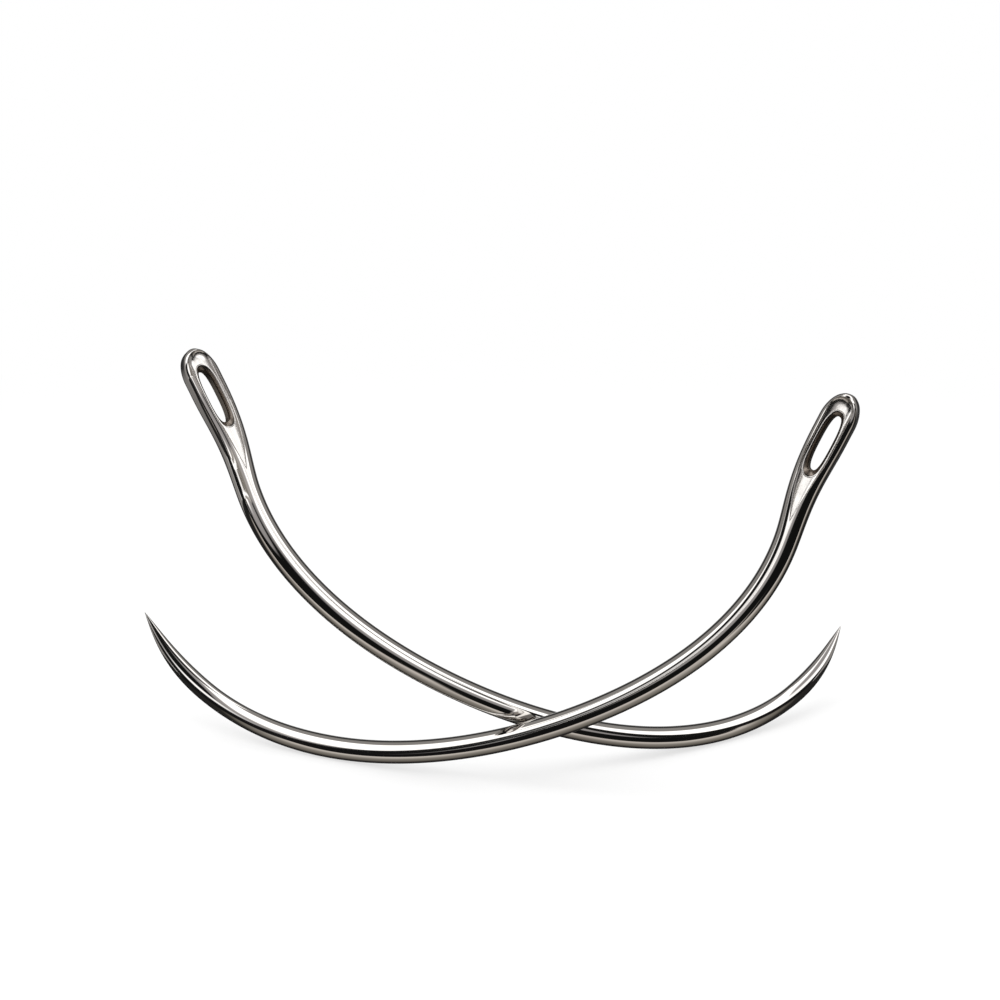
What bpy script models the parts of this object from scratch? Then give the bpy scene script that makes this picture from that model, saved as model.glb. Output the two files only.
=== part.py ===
# Two curved hand-sewing needles, crossed and standing on their bellies.
# Each one is a single length of round steel wire: ground to a point at one end,
# pressed flat and wide at the other, grooved and pierced there for the thread,
# and then bent into a bow. Metres, Z up, the floor is z = 0.
import math

import bmesh
import bpy
import numpy as np
from mathutils import Matrix, Vector

# The wire
NEEDLE_LENGTH = 0.0758       # round the bow, from the point to the end of the head
WIRE_DIAMETER = 0.0018

# The ground point
POINT_LENGTH = 0.009         # the short ogive that does the piercing
POINT_SHOULDER = 0.90        # share of the wire's diameter where the ogive ends
TAPER_LENGTH = 0.022         # from the tip to where the wire has its full diameter
POINT_FULLNESS = 2.2         # how full the ogive is, 1 is a plain cone

# The pressed head
HEAD_LENGTH = 0.0112         # from the end of the head to the last round section
HEAD_SPREAD = 0.0080         # length over which the wire spreads to the head's width
HEAD_WIDTH = 0.00255
HEAD_END = 0.0021            # length over which the head narrows again to its round end
HEAD_THICKNESS = 0.0017
HEAD_CORNER = 0.00055        # rounding along the head's edges

# The grooves that guide the thread into the eye, one on each face
GUTTER_WIDTH = 0.0018
GUTTER_DEPTH = 0.00035
GUTTER_MARGIN = 0.00028      # metal left between the groove and the end of the head
GUTTER_END_ROUND = 0.0009
GUTTER_LEAD = 0.0037         # from the eye to the sharp tip where the groove starts
GUTTER_RUNOUT = 0.0050       # from that tip to where the groove has its full width
RUNOUT_FULLNESS = 1.5        # 1 gives the tip straight sides, more gives it rounder ones
SHARPEST_DIE = 0.04          # least share of the groove's width that the die's radius still follows
DIE_RUN_OFF = 0.0004         # the die is longer than the groove by this, beyond the tip

# The eye
EYE_LENGTH = 0.0041
EYE_WIDTH = 0.00095
EYE_MARGIN = 0.0017          # metal left between the eye and the end of the head
EYE_SQUARENESS = 2.8         # 2 is an ellipse, more is nearer to a slot
END_FLARE = 1.2              # how fast the eye opens outward at its ends
SIDE_FLARE = 0.55            # and along its sides
FLARE_DEPTH = 0.00025        # it starts to open this far under the groove's floor
PUNCH_OVERSHOOT = 0.0004     # the punch stands out of both faces by this

# The bow, as radii of bend along the wire
TIP_RADIUS = 0.0150
TIP_STRAIGHT = 0.0040        # the bend fades away over this length at the very tip
BELLY_RADIUS = 0.0540
NECK_RADIUS = 0.0129
BELLY_PLACE = 0.0407         # where the bow is flattest, from the tip
BOW_END = 0.0105             # where the bow stops, from the end of the head
BOW_FADE = 0.0005            # how gently it stops
HEAD_SET_BACK_DEG = 10.6     # the head is bent back outward by this much
SET_BACK_LENGTH = 0.0072     # length that this bend takes, the rest of the head is straight

# How the two needles stand
FRONT_TURN_DEG = -25.5       # about the vertical
FRONT_LEAN_DEG = 11.6        # the bow leans out of the vertical
FRONT_ROCK_DEG = 24.0        # slope of the flattest place
FRONT_X = 0.00327            # where the flattest place stands
FRONT_Y = -0.00817
REAR_TURN_DEG = 213.1
REAR_LEAN_DEG = -24.8
REAR_ROCK_DEG = 31.3
REAR_X = -0.00154            # its Y follows from resting against the front needle
TOUCH_GAP = 0.0003           # left where the rear needle rests against the front one

# How finely the round forms are cut
WIRE_SIDES = 24
DIE_SIDES = 32
EYE_SIDES = 48


def smooth(t):
    t = min(max(t, 0.0), 1.0)
    return t * t * (3.0 - 2.0 * t)


def make_bow():
    """The centre line of the bent wire: distance along it, x, z and slope."""
    s = np.linspace(0.0, NEEDLE_LENGTH, 1201)
    stop = NEEDLE_LENGTH - BOW_END
    tip, belly, neck = 1.0 / TIP_RADIUS, 1.0 / BELLY_RADIUS, 1.0 / NECK_RADIUS
    before = belly + (tip - belly) * ((s - BELLY_PLACE) / BELLY_PLACE) ** 2
    after = belly + (neck - belly) * ((s - BELLY_PLACE) / (stop - BELLY_PLACE)) ** 2
    bend = np.where(s < BELLY_PLACE, before, after)
    bend = bend / (1.0 + np.exp((s - stop) / BOW_FADE))
    bend = bend * np.array([smooth(place / TIP_STRAIGHT) for place in s])
    t = np.clip((s - stop) / SET_BACK_LENGTH, 0.0, 1.0)
    back = (1.0 - np.cos(2.0 * math.pi * t)) / SET_BACK_LENGTH
    bend = bend - math.radians(HEAD_SET_BACK_DEG) * back
    step = np.diff(s)
    slope = np.concatenate([[0.0], np.cumsum((bend[1:] + bend[:-1]) / 2 * step)])
    slope = slope - np.interp(BELLY_PLACE, s, slope)
    middle = (slope[1:] + slope[:-1]) / 2
    x = np.concatenate([[0.0], np.cumsum(np.cos(middle) * step)])
    z = np.concatenate([[0.0], np.cumsum(np.sin(middle) * step)])
    return s, x - np.interp(BELLY_PLACE, s, x), z - np.interp(BELLY_PLACE, s, z), slope


BOW = make_bow()


def bent(along, across, through):
    """Where a point of the straight needle lies once the wire is bent."""
    s, x, z, slope = BOW
    a = float(np.interp(along, s, slope))
    px = float(np.interp(along, s, x)) - math.sin(a) * across
    pz = float(np.interp(along, s, z)) + math.cos(a) * across
    return Vector((px, through, pz))


def wire_radius(along):
    full = WIRE_DIAMETER / 2
    shoulder = full * POINT_SHOULDER
    if along < POINT_LENGTH:
        return shoulder * (1.0 - (1.0 - along / POINT_LENGTH) ** POINT_FULLNESS)
    t = (along - POINT_LENGTH) / (TAPER_LENGTH - POINT_LENGTH)
    return shoulder + (full - shoulder) * smooth(t)


def section(along):
    """Half width, half thickness and corner radius of the needle there."""
    r = wire_radius(along)
    spread = smooth((along - (NEEDLE_LENGTH - HEAD_LENGTH)) / HEAD_SPREAD)
    half_width = r + (HEAD_WIDTH / 2 - r) * spread
    half_thick = r + (HEAD_THICKNESS / 2 - r) * spread
    corner = r + (HEAD_CORNER - r) * spread
    left = NEEDLE_LENGTH - along
    if left < HEAD_END:
        t = 1.0 - left / HEAD_END
        half_width *= math.sqrt(max(1.0 - t * t, 0.0))
    if left < HEAD_CORNER:
        t = 1.0 - left / HEAD_CORNER
        half_thick -= HEAD_CORNER * (1.0 - math.sqrt(max(1.0 - t * t, 0.0)))
    corner = min(corner, half_width * 0.999, half_thick * 0.999)
    return half_width, half_thick, corner, 1.0 - spread


def ring_points(along):
    """One closed section of the needle, four rounded corners in turn."""
    w, t, c, roundness = section(along)
    per = WIRE_SIDES // 4
    start = 90.0 / per / 2 * roundness
    points = []
    for quarter, (sy, sz) in enumerate(((1, 1), (-1, 1), (-1, -1), (1, -1))):
        for i in range(per):
            a = start + (90.0 - 2 * start) * i / (per - 1)
            a = math.radians(a + 90.0 * quarter)
            y = sy * (w - c) + c * math.cos(a)
            z = sz * (t - c) + c * math.sin(a)
            points.append(bent(along, y, z))
    return points


def loft(name, rings, start=None, end=None):
    """A closed skin over a row of rings, with a point or a flat cap at each end."""
    bm = bmesh.new()
    loops = [[bm.verts.new(p) for p in ring] for ring in rings]
    edges = []
    for loop in loops:
        edges.append([bm.edges.new((loop[i - 1], loop[i])) for i in range(len(loop))])
    for a, b in zip(edges, edges[1:]):
        bmesh.ops.bridge_loops(bm, edges=a + b)
    for loop, tip in ((loops[0], start), (loops[-1], end)):
        if tip is None:
            bm.faces.new(loop)
        else:
            pole = bm.verts.new(tip)
            for i in range(len(loop)):
                bm.faces.new((loop[i - 1], loop[i], pole))
    bmesh.ops.recalc_face_normals(bm, faces=bm.faces)
    mesh = bpy.data.meshes.new(name)
    bm.to_mesh(mesh)
    bm.free()
    for face in mesh.polygons:
        face.use_smooth = True
    return mesh


def stations():
    """Where the needle's sections stand, closer together where it changes most."""
    n = NEEDLE_LENGTH
    neck = n - HEAD_LENGTH
    point = [POINT_LENGTH * f for f in (0.04, 0.09, 0.16, 0.25, 0.36, 0.5, 0.66, 0.83, 1.0)]
    shank = list(np.linspace(POINT_LENGTH, neck, 44))[1:]
    widest = neck + HEAD_SPREAD
    head = list(np.linspace(neck, widest, 26))[1:] + [n - HEAD_END]
    arc = (8, 16, 24, 33, 42, 51, 60, 69, 77, 84)
    end = [n - HEAD_END * (1 - math.sin(math.radians(a))) for a in arc]
    return point + shank + sorted(head + end)


def needle_mesh():
    rings = [ring_points(s) for s in stations()]
    return loft("needle", rings, start=bent(0.0, 0.0, 0.0), end=bent(NEEDLE_LENGTH, 0.0, 0.0))


def gutter_mesh(side):
    """The body that presses the groove into one face of the head."""
    full, depth = GUTTER_WIDTH / 2, GUTTER_DEPTH
    radius = (full * full + depth * depth) / (2 * depth)
    reach = GUTTER_END_ROUND * radius / full
    centre = NEEDLE_LENGTH - GUTTER_MARGIN - GUTTER_END_ROUND
    tip = NEEDLE_LENGTH - EYE_MARGIN - EYE_LENGTH - GUTTER_LEAD
    places = list(np.linspace(tip - DIE_RUN_OFF, tip + GUTTER_RUNOUT, 22))
    places += list(np.linspace(tip + GUTTER_RUNOUT, centre, 8))[1:]
    places += [centre + reach * math.sin(math.radians(a)) for a in (16, 31, 45, 57, 68, 77, 84)]
    rings = []
    for along in places:
        t = max(1.0 - (along - tip) / GUTTER_RUNOUT, 0.0)
        half = full * (1.0 - t ** RUNOUT_FULLNESS)
        r = radius * math.sqrt(max(abs(half) / full, SHARPEST_DIE))
        bite = r - math.sqrt(r * r - half * half)
        top = HEAD_THICKNESS / 2 if t == 0.0 else section(along)[1]
        floor = top - math.copysign(bite, half)
        lift = r
        if along > centre:
            r = radius * math.sqrt(1.0 - ((along - centre) / reach) ** 2)
        ring = []
        for i in range(DIE_SIDES):
            a = 2 * math.pi * i / DIE_SIDES
            ring.append(bent(along, r * math.sin(a), side * (floor + lift - r * math.cos(a))))
        rings.append(ring)
    return loft("gutter_die", rings)


def eye_mesh():
    """The punch for the eye, straight in the middle and flared at both faces."""
    half = HEAD_THICKNESS / 2
    inner = half - GUTTER_DEPTH - FLARE_DEPTH
    outer = half + PUNCH_OVERSHOOT
    middle = NEEDLE_LENGTH - EYE_MARGIN - EYE_LENGTH / 2
    rings = []
    for level in (-outer, -inner, inner, outer):
        open_by = abs(level) - inner
        ring = []
        for i in range(EYE_SIDES):
            a = 2 * math.pi * i / EYE_SIDES
            c, s = math.cos(a), math.sin(a)
            x = math.copysign(abs(c) ** (2 / EYE_SQUARENESS), c) * (EYE_LENGTH / 2 + END_FLARE * open_by)
            y = math.copysign(abs(s) ** (2 / EYE_SQUARENESS), s) * (EYE_WIDTH / 2 + SIDE_FLARE * open_by)
            ring.append(bent(middle + x, y, level))
        rings.append(ring)
    return loft("eye_punch", rings)


def standing(turn, lean, rock):
    """The turn that stands the bow up, before it is set down on the floor."""
    spin = Matrix.Rotation(math.radians(turn), 4, "Z")
    tilt = Matrix.Rotation(-math.radians(lean), 4, "X")
    roll = Matrix.Rotation(-math.radians(rock), 4, "Y")
    return spin @ tilt @ roll


def centre_line(pose):
    """Points and radii down the middle of a placed needle."""
    places = np.linspace(0.0, NEEDLE_LENGTH - HEAD_LENGTH, 400)
    points = np.array([pose @ bent(s, 0.0, 0.0) for s in places])
    return points, np.array([wire_radius(s) for s in places])


def on_floor(pose):
    """The pose, moved up or down until the needle stands on the floor."""
    points, radii = centre_line(pose)
    drop = float(np.min(points[:, 2] - radii))
    return Matrix.Translation((0.0, 0.0, -drop)) @ pose


def against(front, rear):
    """The rear pose, slid along the floor until the rear needle rests against the front one."""
    points, radii = centre_line(front)
    others, other_radii = centre_line(rear)
    clear = radii[:, None] + other_radii[None, :] + TOUCH_GAP
    apart = others[None, :, :] - points[:, None, :]
    room = clear ** 2 - apart[:, :, 0] ** 2 - apart[:, :, 2] ** 2
    near = room > 0.0
    shift = float(np.max(np.sqrt(room[near]) - apart[:, :, 1][near]))
    return Matrix.Translation((0.0, shift, 0.0)) @ rear


def steel(name, colour, roughness):
    material = bpy.data.materials.new(name)
    material.use_nodes = True
    shader = material.node_tree.nodes["Principled BSDF"]
    shader.inputs["Base Color"].default_value = (*colour, 1.0)
    shader.inputs["Metallic"].default_value = 1.0
    shader.inputs["Roughness"].default_value = roughness
    return material


def place(name, mesh, pose, material=None):
    piece = bpy.data.objects.new(name, mesh)
    bpy.context.scene.collection.objects.link(piece)
    piece.matrix_world = pose
    if material:
        mesh.materials.append(material)
    return piece


def make_needle(name, pose, material):
    """One whole needle with its grooves pressed and its eye pierced."""
    needle = place(name, needle_mesh(), pose, material)
    for label, mesh in (
        ("gutter_die_front", gutter_mesh(-1)),
        ("gutter_die_back", gutter_mesh(1)),
        ("eye_punch", eye_mesh()),
    ):
        tool = place(name + "_" + label, mesh, pose)
        tool.hide_render = True
        tool.display_type = "WIRE"
        cut = needle.modifiers.new(label, "BOOLEAN")
        cut.operation = "DIFFERENCE"
        cut.solver = "EXACT"
        cut.object = tool
    return needle


for old in list(bpy.data.objects):
    bpy.data.objects.remove(old, do_unlink=True)

front_pose = standing(FRONT_TURN_DEG, FRONT_LEAN_DEG, FRONT_ROCK_DEG)
front_pose = on_floor(Matrix.Translation((FRONT_X, FRONT_Y, 0.0)) @ front_pose)
rear_pose = standing(REAR_TURN_DEG, REAR_LEAN_DEG, REAR_ROCK_DEG)
rear_pose = against(front_pose, on_floor(Matrix.Translation((REAR_X, 0.0, 0.0)) @ rear_pose))

make_needle("front_needle", front_pose, steel("front_needle_steel", (0.62, 0.60, 0.57), 0.15))
make_needle("rear_needle", rear_pose, steel("rear_needle_steel", (0.60, 0.58, 0.56), 0.15))
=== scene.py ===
# %% [markdown]
# Two crossed curved sewing needles in polished steel.
# The frame gives the place and size of each needle. The cells below make its fine surface and
# give it the finish of real steel. All sizes are in metres, and Z is up.
# %% Load the frame
import math

import bmesh
import bpy
import numpy as np
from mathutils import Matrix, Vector


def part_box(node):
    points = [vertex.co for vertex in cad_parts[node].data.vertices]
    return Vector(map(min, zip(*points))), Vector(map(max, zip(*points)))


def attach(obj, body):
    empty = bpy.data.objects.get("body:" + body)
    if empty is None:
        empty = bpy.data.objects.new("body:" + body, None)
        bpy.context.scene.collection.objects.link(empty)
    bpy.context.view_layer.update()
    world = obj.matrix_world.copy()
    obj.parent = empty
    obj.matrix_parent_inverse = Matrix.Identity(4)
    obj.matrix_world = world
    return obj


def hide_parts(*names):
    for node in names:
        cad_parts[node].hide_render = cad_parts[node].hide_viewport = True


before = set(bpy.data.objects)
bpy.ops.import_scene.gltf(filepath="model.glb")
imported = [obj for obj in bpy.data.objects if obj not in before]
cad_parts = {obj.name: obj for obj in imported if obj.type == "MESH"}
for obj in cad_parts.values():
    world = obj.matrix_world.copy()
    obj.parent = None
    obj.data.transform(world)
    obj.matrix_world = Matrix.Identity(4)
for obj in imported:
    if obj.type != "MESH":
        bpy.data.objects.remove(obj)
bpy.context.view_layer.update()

MM = 0.001

# %% [markdown]
# The camera comes first, because every finish is judged through it. It stands in front of the
# pair and a little above it, at the distance of a close-up, so the nearer head looks slightly
# larger than the farther one. It looks down by 12 degrees, with no roll and no shift.
# %% Camera
CAMERA_PLACE = (0.02 * MM, -116.44 * MM, 46.16 * MM)
CAMERA_PITCH = 0.2144        # radians below the horizon
CAMERA_LENS = 55.15          # focal length, which Blender counts in millimetres
CAMERA_SENSOR = 36.0         # width, in millimetres too
CAMERA_NEAREST = 1 * MM      # anything closer is cut off


def make_camera():
    lens = bpy.data.cameras.new("camera")
    lens.lens = CAMERA_LENS
    lens.sensor_width = CAMERA_SENSOR
    lens.clip_start = CAMERA_NEAREST
    camera = bpy.data.objects.new("camera", lens)
    camera.location = CAMERA_PLACE
    camera.rotation_euler = (math.pi / 2 - CAMERA_PITCH, 0.0, 0.0)
    bpy.context.scene.collection.objects.link(camera)
    return camera


bpy.context.scene.camera = make_camera()
bpy.context.scene.view_settings.view_transform = "Standard"
print("camera at", CAMERA_PLACE)

# %% [markdown]
# Node trees hold the studio, the finishes and the bending of the wire, so their helpers come
# early. The first one lets a socket be used in sums: `Signal` wraps it and turns Python's
# operators into Math nodes, so a rule reads here as it would on paper.
# %% Sums on sockets


def connect(tree, socket, value):
    if isinstance(value, Signal):
        tree.links.new(value.socket, socket)
    else:
        socket.default_value = value


def math_node(tree, operation, *values):
    node = tree.nodes.new("ShaderNodeMath")
    node.operation = operation
    for socket, value in zip(node.inputs, values):
        connect(tree, socket, value)
    return Signal(tree, node.outputs[0])


class Signal:
    """A socket in a node tree that can be used in sums."""

    def __init__(self, tree, socket):
        self.tree = tree
        self.socket = socket

    def math(self, operation, *others):
        return math_node(self.tree, operation, self, *others)

    def __add__(self, other):
        return self.math("ADD", other)

    __radd__ = __add__

    def __sub__(self, other):
        return self.math("SUBTRACT", other)

    def __rsub__(self, other):
        return math_node(self.tree, "SUBTRACT", other, self)

    def __mul__(self, other):
        return self.math("MULTIPLY", other)

    __rmul__ = __mul__

    def __truediv__(self, other):
        return self.math("DIVIDE", other)

    def __rtruediv__(self, other):
        return math_node(self.tree, "DIVIDE", other, self)

    def clamped(self):
        return self.math("MAXIMUM", 0.0).math("MINIMUM", 1.0)

    def smoothed(self):
        """0 below 0, 1 above 1, and a smooth step between."""
        t = self.clamped()
        return t * t * (3.0 - 2.0 * t)

    def eased(self, low, high):
        """0 below low, 1 above high, and a smooth step between."""
        return ((self - low) / (high - low)).smoothed()


def between(share, ends):
    """The first of the ends where the share is 0, and the second where it is 1."""
    return ends[0] + (ends[1] - ends[0]) * share


print("sums on sockets ready")

# %% [markdown]
# `add` makes any other node: its settings first, then the values or links of its sockets. A
# Math node would turn a colour grey, so colours go through `mixed`, and vectors through
# `vector`.
# %% Other nodes


def set_stops(ramp, stops):
    while len(ramp.elements) < len(stops):
        ramp.elements.new(0.5)
    for element, (place, colour) in zip(ramp.elements, stops):
        element.position = place
        element.color = (*colour, 1.0)


def add(tree, kind, settings=None, **values):
    """One node of that kind. A socket is named with _ for each space, or in_0, in_1 by place."""
    node = tree.nodes.new(kind)
    for name, value in (settings or {}).items():
        if name == "stops":
            set_stops(node.color_ramp, value)
        else:
            setattr(node, name, value)
    for name, value in values.items():
        if name.startswith("in_"):
            socket = node.inputs[int(name[3:])]
        else:
            socket = node.inputs[name.replace("_", " ")]
        connect(tree, socket, value)
    return node


def out(node, name=0):
    """A node's output as a Signal."""
    return Signal(node.id_data, node.outputs[name])


MIX_SOCKETS = {"VECTOR": (4, 1), "RGBA": (6, 2)}    # the Mix node's first input and its output


def mixed(tree, factor, a, b, kind="RGBA"):
    """a where factor is 0 and b where it is 1, for colours or vectors."""
    node = add(tree, "ShaderNodeMix", {"data_type": kind})
    first, result = MIX_SOCKETS[kind]
    for place, value in ((0, factor), (first, a), (first + 1, b)):
        connect(tree, node.inputs[place], value)
    return out(node, result)


def vector(tree, operation, *values):
    """A Vector Math node: its number for a dot product or a length, and else its vector."""
    places = {f"in_{place}": value for place, value in enumerate(values)}
    node = add(tree, "ShaderNodeVectorMath", {"operation": operation}, **places)
    return out(node, "Value" if operation in ("DOT_PRODUCT", "LENGTH") else "Vector")


def split(tree, value):
    """The three parts of a vector."""
    node = add(tree, "ShaderNodeSeparateXYZ", Vector=value)
    return [out(node, name) for name in "XYZ"]


print("kinds that can be mixed:", sorted(MIX_SOCKETS))

# %% [markdown]
# Polished steel has almost no colour of its own: it shows what stands around it. The needles
# stand in a small studio with long lights and cards beside them. Each needle shows the same
# bands from its inner edge to its outer edge: a dark rim, grey card, a wide white light, the
# grey round the lens, a black card, warm card low down, and a dark rim again. Modelling the
# cards would work, but a world whose brightness depends on the direction gives the same bands
# with no geometry at all. Two round black cards beside them deepen the dark of the shanks, and
# two round lights brighten the heads.
# %% Cards and lights
# Place across the wire, from -1 at the outer edge to 1 at the inner one, and the brightness
# of the card there as a share of the studio's level
CARDS = (
    (-1.00, (0.010, 0.010, 0.010)),
    (-0.86, (0.015, 0.014, 0.013)),
    (-0.78, (0.080, 0.073, 0.063)),
    (-0.62, (0.150, 0.139, 0.125)),
    (-0.54, (0.250, 0.234, 0.215)),
    (-0.44, (0.400, 0.373, 0.346)),
    (-0.40, (0.004, 0.004, 0.004)),
    (-0.06, (0.004, 0.004, 0.004)),
    (-0.02, (0.180, 0.175, 0.175)),
    (0.12, (0.230, 0.220, 0.220)),
    (0.16, (0.450, 0.450, 0.450)),
    (0.20, (0.950, 0.950, 0.950)),
    (0.57, (0.950, 0.950, 0.950)),
    (0.62, (0.160, 0.155, 0.150)),
    (0.82, (0.160, 0.155, 0.150)),
    (0.86, (0.015, 0.015, 0.015)),
    (0.95, (0.025, 0.025, 0.025)),
    (1.00, (0.300, 0.300, 0.300)),
)

# Degrees to the right in the picture and up, radius, soft edge, and brightness
ROUND_CARDS = (
    (-66, 5, 16, 6, 0.005),
    (75, 16, 10, 5, 0.005),
    (-42, 19, 9, 6, 0.80),
    (64, 44, 10, 6, 0.80),
)


def banded(tree, across):
    """The colour of the card that shows at that place across the wire."""
    stops = [((place + 1.0) / 2.0, colour) for place, colour in CARDS]
    return out(add(tree, "ShaderNodeValToRGB", {"stops": stops}, Fac=(across + 1.0) * 0.5))


def with_round_card(tree, direction, cards, aside, up, radius, edge, brightness):
    aside, up = math.radians(aside), math.radians(up)
    centre = (math.sin(aside) * math.cos(up), -math.cos(aside) * math.cos(up), math.sin(up))
    near, far = (math.cos(math.radians(degrees)) for degrees in (radius, radius + edge))
    share = vector(tree, "DOT_PRODUCT", direction, centre).eased(far, near)
    return mixed(tree, share, cards, (brightness, brightness, brightness, 1.0))


print("bands:", len(CARDS), "round cards and lights:", len(ROUND_CARDS))

# %% [markdown]
# The bands follow each needle round its bow, so the world has to know how the bows stand. For
# the direction of a ray it asks which place on the wire throws a ray that way to the lens.
# The normal there is half way between the ray and the lens, and it says how far across the
# wire that place lies, as the lens sees it. The lens is so close that each end of a needle
# sees it in another direction. So a first answer gives the slope of the wire, the slope moves
# the lens, and the second answer counts.
# %% Place across the wire
LENS = Vector((0.0, -0.942, 0.335))    # direction from the needles

# Directions along a bow, out of the face that the lens sees, and into the bow, and how far
# the lens swings from the middle of the needle to where its slope would be upright
FRONT_BOW = (
    (0.860, -0.319, 0.398), (-0.422, -0.884, 0.201), (-0.288, 0.341, 0.895),
    (0.17, -0.05, 0.05),
)
REAR_BOW = (
    (-0.835, -0.284, 0.472), (0.496, -0.760, 0.419), (0.239, 0.584, 0.776),
    (-0.13, 0.04, -0.015),
)

# Towards the point the cards move over to the inner edge, and the black one with them
POINT_RUN = (0.55, 0.92)     # sines of the wire's slope where that starts and where it is full
POINT_SHIFT = 0.5
LEAST_LEAN = 0.001           # keeps a division finite where the normal leaves the bow's plane


def facing(tree, direction, lens, axes):
    """The normal that throws a ray from the lens that way, in the bow's own directions. Its
    lean within the bow comes with it, the side, 1 for the inner and -1 for the outer, and the
    sine of the wire's slope there, which is positive towards the point."""
    half_way = vector(tree, "NORMALIZE", vector(tree, "ADD", direction, lens))
    x, y, z = (vector(tree, "DOT_PRODUCT", half_way, axis) for axis in axes)
    lean = (x * x + z * z).math("SQRT").math("MAXIMUM", LEAST_LEAN)
    side = z.math("GREATER_THAN", 0.0) * 2.0 - 1.0
    return x, y, z, lean, side, side * x / lean


def across_wire(tree, direction, bow):
    """How far across the wire the place lies that throws a ray in that direction."""
    *axes, swing = bow
    slope = facing(tree, direction, LENS, axes)[-1]
    scaling = {"operation": "SCALE"}
    swung = out(add(tree, "ShaderNodeVectorMath", scaling, in_0=swing, Scale=slope))
    lens = vector(tree, "NORMALIZE", vector(tree, "ADD", swung, LENS))
    x, y, z, lean, side, slope = facing(tree, direction, lens, axes)
    lens_x, lens_y, lens_z = (vector(tree, "DOT_PRODUCT", lens, axis) for axis in axes)
    lens_lean = (x * lens_x + z * lens_z) / lean
    size = (lens_lean * lens_lean + lens_y * lens_y).math("SQRT")
    across = side * (lean * lens_y - y * lens_lean) / size
    return across - POINT_SHIFT * slope.eased(*POINT_RUN) * (1.0 - across * across)


print("lens towards", tuple(round(part, 3) for part in LENS))

# %% [markdown]
# The front needle's bands stand on the left of the studio and the rear one's on the right. The
# seam between them is narrow at the needles' level and wide higher up. Only reflections see
# the studio: the camera sees white, and matt surfaces get a plain level.
# %% Studio
STUDIO_LEVEL = 2.0           # against 1 for white paper
PLAIN_LEVEL = 0.9
WHITE = (1.0, 1.0, 1.0, 1.0)

# The seam at the needles' level and high up, in radians to the right in the picture
SEAM_START = (0.23, -0.26)
SEAM_WIDTH = (0.24, 0.70)
SEAM_RISE = 0.42             # height of a direction, of 1 straight up, that counts as high up


def studio_cards(tree):
    direction = out(add(tree, "ShaderNodeTexCoord"), "Generated")
    x, y, z = split(tree, direction)
    around = x.math("ARCTAN2", y * -1.0)
    high = z.eased(0.0, SEAM_RISE)
    right = ((around - between(high, SEAM_START)) / between(high, SEAM_WIDTH)).smoothed()
    bands = [banded(tree, across_wire(tree, direction, bow)) for bow in (FRONT_BOW, REAR_BOW)]
    cards = mixed(tree, right, *bands)
    for card in ROUND_CARDS:
        cards = with_round_card(tree, direction, cards, *card)
    return cards


def make_world():
    world = bpy.data.worlds.new("studio")
    world.use_nodes = True
    tree = world.node_tree
    tree.nodes.clear()
    rays = add(tree, "ShaderNodeLightPath")
    white = out(rays, "Is Camera Ray").math("MAXIMUM", out(rays, "Is Transmission Ray"))
    glossy = out(rays, "Is Glossy Ray") * (1.0 - white)
    cards = add(tree, "ShaderNodeBackground", Color=studio_cards(tree), Strength=STUDIO_LEVEL)
    plain = add(tree, "ShaderNodeBackground", Color=WHITE, Strength=PLAIN_LEVEL)
    paper = add(tree, "ShaderNodeBackground", Color=WHITE, Strength=1.0)
    seen = add(tree, "ShaderNodeMixShader", Fac=glossy, in_1=out(plain), in_2=out(cards))
    seen = add(tree, "ShaderNodeMixShader", Fac=white, in_1=out(seen), in_2=out(paper))
    add(tree, "ShaderNodeOutputWorld", Surface=out(seen))
    return world


bpy.context.scene.world = make_world()
print("studio:", len(bpy.context.scene.world.node_tree.nodes), "nodes")

# %% [markdown]
# The table is a white sheet. It has to keep the needles' soft shadow and still read as pure
# white, so the camera sees mostly plain white paper with a small share of the lit surface, and
# far out only the paper. The sheet stays out of the reflections, where the studio has its
# warm card. One wide lamp high in front makes the shadow soft, and stays out of them too.
# %% Table and lamp
TABLE_RADIUS = 0.6
TABLE_SIDES = 96
SHEET_COLOUR = (0.98, 0.98, 0.98, 1.0)
LIT_SHARE = 0.35
SHADOW_RUN = (0.08, 0.25)    # from the middle to where the lit share starts to fade, and ends
LAMP_PLACE = Vector((-0.12, -0.18, 0.42))
LAMP_SIZE = 0.30
LAMP_POWER = 0.9


def sheet_finish():
    material = bpy.data.materials.new("white_sheet")
    material.use_nodes = True
    tree = material.node_tree
    tree.nodes.clear()
    place = out(add(tree, "ShaderNodeTexCoord"), "Object")
    share = LIT_SHARE * (1.0 - vector(tree, "LENGTH", place).eased(*SHADOW_RUN))
    lit = add(tree, "ShaderNodeBsdfDiffuse", Color=SHEET_COLOUR)
    paper = add(tree, "ShaderNodeEmission", Color=WHITE, Strength=1.0)
    camera = out(add(tree, "ShaderNodeLightPath"), "Is Camera Ray")
    seen = add(tree, "ShaderNodeMixShader", Fac=share, in_1=out(paper), in_2=out(lit))
    both = add(tree, "ShaderNodeMixShader", Fac=camera, in_1=out(lit), in_2=out(seen))
    add(tree, "ShaderNodeOutputMaterial", Surface=out(both))
    return material


def make_table():
    mesh = bpy.data.meshes.new("table")
    form = bmesh.new()
    bmesh.ops.create_circle(form, cap_ends=True, radius=TABLE_RADIUS, segments=TABLE_SIDES)
    form.to_mesh(mesh)
    form.free()
    mesh.materials.append(sheet_finish())
    table = bpy.data.objects.new("table", mesh)
    bpy.context.scene.collection.objects.link(table)
    table.visible_glossy = False
    return table


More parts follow.
